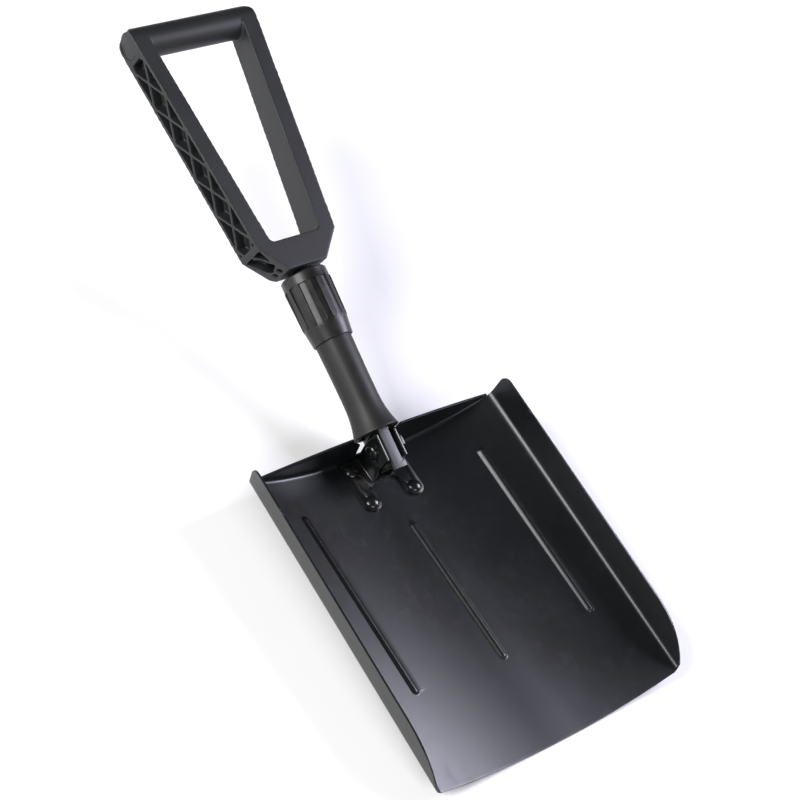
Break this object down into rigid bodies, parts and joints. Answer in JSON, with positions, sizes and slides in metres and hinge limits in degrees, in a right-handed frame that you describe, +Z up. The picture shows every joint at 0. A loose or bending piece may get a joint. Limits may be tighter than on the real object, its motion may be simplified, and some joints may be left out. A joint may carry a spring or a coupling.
{
  "type": "folding camp shovel",
  "caption": "Camp shovel with a wide dished blade on a folding bracket, a short rubber-gripped shaft with a screw collar, and a folding D-handle.",
  "frame": {"origin": "on the underside of the blade's flat strip, on its centreline, straight below the blade pivot", "axes": "+X to the right, +Y from the blade towards the handle, +Z up out of the blade"},
  "size_m": [0.2504, 0.6223, 0.1428],
  "materials": {
    "powder_coat_steel": "semi-gloss black powder coat on pressed steel",
    "black_steel": "gloss black coated steel",
    "bright_steel": "satin plated steel",
    "bronze": "sintered bronze",
    "grip_rubber": "matt rubber",
    "collar_plastic": "satin black moulded nylon",
    "handle_plastic": "matt black glass-filled nylon, fine grain"
  },
  "bodies": {
    "blade": {"blade_pan": "powder_coat_steel", "hinge_bracket": "black_steel", "bracket_rivets": "black_steel", "blade_pivot_bolt": "black_steel", "pivot_washers": "black_steel", "pivot_nut": "black_steel"},
    "shaft": {"hinge_knuckle": "black_steel", "knuckle_bush": "bronze", "knuckle_pins": "bright_steel", "shaft_tube": "black_steel", "grip_sleeve": "grip_rubber", "screw_sleeve": "bright_steel", "handle_tongue": "black_steel", "tongue_pin": "bright_steel", "tongue_bush": "bronze"},
    "lock": {"lock_bar": "bright_steel", "push_rod": "bright_steel", "drive_pin": "bright_steel"},
    "collar": {"collar_shell": "collar_plastic", "collar_nut": "bronze", "collar_retainer": "collar_plastic"},
    "handle": {"handle_frame": "handle_plastic", "crossbar_caps": "handle_plastic", "handle_hinge_bolt": "black_steel", "handle_hinge_nut": "black_steel", "friction_washers": "bright_steel"}
  },
  "joints": [
    {"name": "blade_fold", "type": "hinge", "parent": "blade", "child": "shaft", "pos_m": [0, 0, 0.0269], "axis": [1, 0, 0], "range_deg": [0, 160]},
    {"name": "handle_fold", "type": "hinge", "parent": "shaft", "child": "handle", "pos_m": [0, 0.15943, 0.07174], "axis": [1, 0, 0], "range_deg": [-163, 0]},
    {"name": "lock_slide", "type": "slide", "parent": "shaft", "child": "lock", "axis": [0, -0.9593, -0.2823], "range_m": [0, 0.006]},
    {"name": "collar_turn", "type": "hinge", "parent": "lock", "child": "collar", "pos_m": [0, 0.1132, 0.06022], "axis": [0, -0.9593, -0.2823], "range_deg": [0, 180.5]}
  ],
  "couplings": [
    {"joint": "collar_turn", "follows": "lock_slide", "rad_per_m": 523.6}
  ]
}
